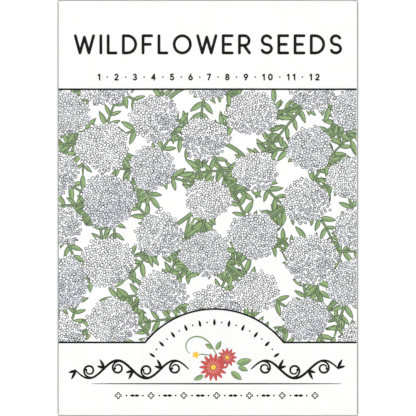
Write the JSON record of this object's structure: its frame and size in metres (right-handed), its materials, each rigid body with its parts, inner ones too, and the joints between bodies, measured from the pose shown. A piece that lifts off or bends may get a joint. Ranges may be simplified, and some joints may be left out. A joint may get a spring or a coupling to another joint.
{
  "type": "seed packet",
  "caption": "Sealed flat paper seed packet with a folded back seam and folded ends, slightly bulged by the seeds inside, lying on its back with the printed front up.",
  "frame": {"origin": "centre of the packet's footprint, on the surface that it lies on", "axes": "+Z out of the printed front, +Y towards the packet's top edge, +X to the right of the printed front"},
  "size_m": [0.0826, 0.1144, 0.0032],
  "materials": {
    "paper": "white coated paper with matt printing inks",
    "seed": "dry ribbed seed husk"
  },
  "bodies": {
    "root": {"envelope": "paper", "seed_heap": "seed", "loose_seed_01": "seed", "loose_seed_02": "seed", "loose_seed_03": "seed", "loose_seed_04": "seed", "loose_seed_05": "seed", "loose_seed_06": "seed", "loose_seed_07": "seed", "loose_seed_08": "seed", "loose_seed_09": "seed", "loose_seed_10": "seed", "loose_seed_11": "seed", "loose_seed_12": "seed", "loose_seed_13": "seed", "loose_seed_14": "seed", "loose_seed_15": "seed", "loose_seed_16": "seed"}
  },
  "joints": []
}
